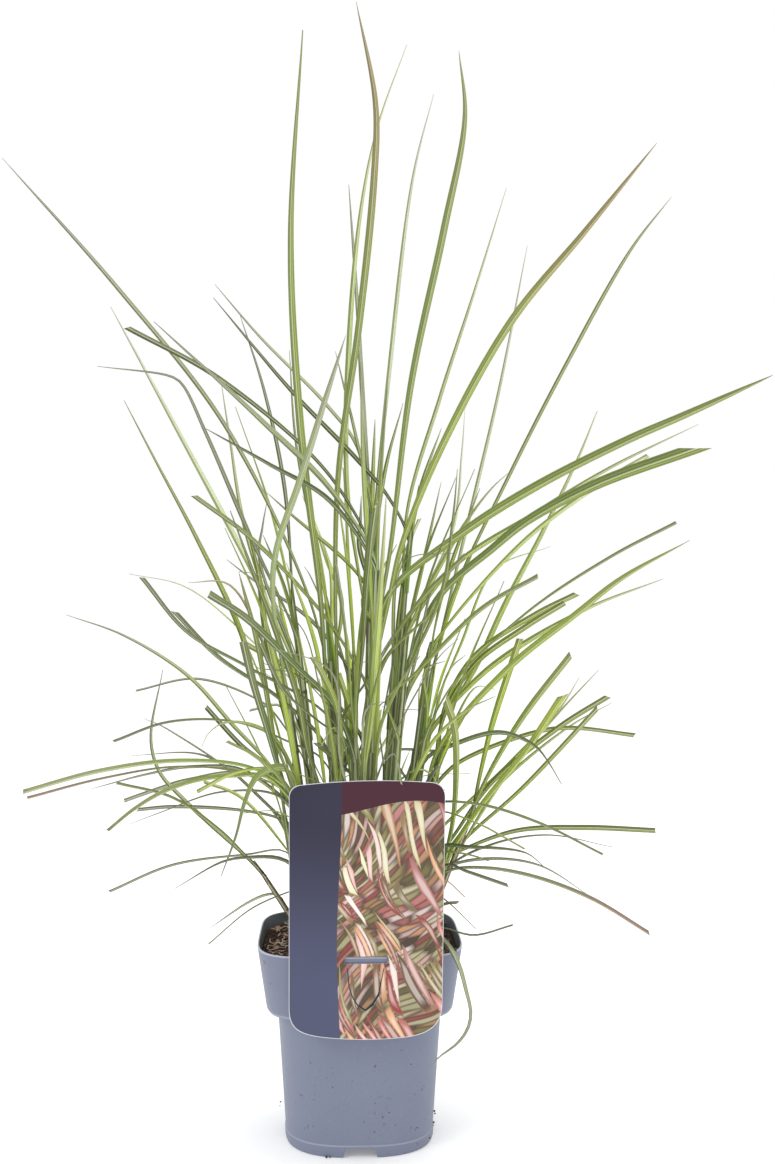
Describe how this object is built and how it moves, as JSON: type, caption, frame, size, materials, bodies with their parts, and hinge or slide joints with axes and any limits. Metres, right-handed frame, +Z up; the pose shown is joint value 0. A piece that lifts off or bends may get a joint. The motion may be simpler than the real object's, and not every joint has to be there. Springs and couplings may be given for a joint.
{
  "type": "potted ornamental grass",
  "caption": "Clump of narrow arching grass blades on slim sheathed stems, growing in soil in a square tapered nursery pot with a wide collar and a plant label hooked on its front",
  "frame": {"origin": "middle of the whole plant's bounding box, on the surface that the pot stands on", "axes": "+Z up, -Y towards the viewer and the label, +X to the viewer's right"},
  "size_m": [0.5222, 0.3876, 0.7638],
  "materials": {
    "pot": "satin, thermoformed, blue-grey",
    "soil": "rough, moist potting compost",
    "label": "printed plastic sheet, soft gloss",
    "grass": "green leaf with a pale midrib"
  },
  "bodies": {
    "root": {"pot": "pot", "soil": "soil", "label": "label", "stem_01": "grass", "stem_02": "grass", "stem_03": "grass", "stem_04": "grass", "stem_05": "grass", "stem_06": "grass", "stem_07": "grass", "stem_08": "grass", "stem_09": "grass", "stem_10": "grass", "stem_11": "grass", "stem_12": "grass", "stem_13": "grass", "stem_14": "grass", "stem_15": "grass", "stem_16": "grass", "stem_17": "grass", "stem_18": "grass", "stem_19": "grass", "stem_20": "grass", "stem_21": "grass", "stem_22": "grass", "stem_23": "grass", "stem_24": "grass", "stem_25": "grass", "stem_26": "grass", "stem_27": "grass", "stem_28": "grass", "stem_29": "grass", "stem_30": "grass", "stem_31": "grass", "stem_32": "grass", "stem_33": "grass", "stem_34": "grass", "stem_35": "grass", "stem_36": "grass"}
  },
  "joints": []
}
